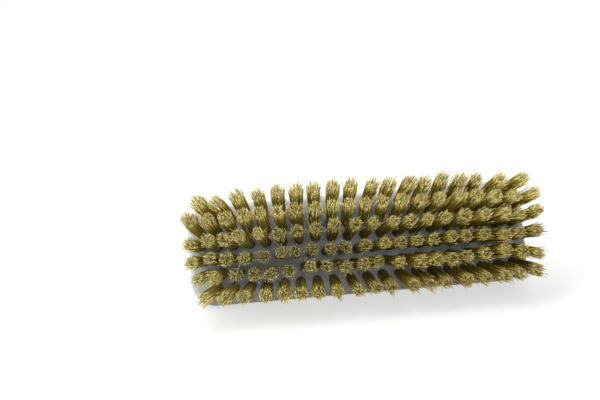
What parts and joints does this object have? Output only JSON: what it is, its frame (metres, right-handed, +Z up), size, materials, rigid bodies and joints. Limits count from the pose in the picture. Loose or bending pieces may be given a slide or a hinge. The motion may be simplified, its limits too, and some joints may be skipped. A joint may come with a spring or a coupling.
{
  "type": "shoe brush",
  "caption": "Hand brush for shoes and cloth: a moulded plastic block with a loop handle on its back and rows of stiff leaning tufts in its face, lying on its side.",
  "frame": {"origin": "on the floor under the middle of the bounding box, with the brush lying as it rests by itself: on one long edge of the block and one edge of the grip", "axes": "+X along the block, +Z up, -Y the way the bristle face looks, which is also about 31 degrees upwards"},
  "size_m": [0.1978, 0.0794, 0.0693],
  "materials": {
    "grey_plastic": "satin moulded plastic",
    "straw_bristle": "satin straw-yellow filament"
  },
  "bodies": {
    "root": {"stock": "grey_plastic", "bristle_row_1": "straw_bristle", "bristle_row_2": "straw_bristle", "bristle_row_3": "straw_bristle", "bristle_row_4": "straw_bristle", "bristle_row_5": "straw_bristle", "bristle_row_6": "straw_bristle"}
  },
  "joints": []
}
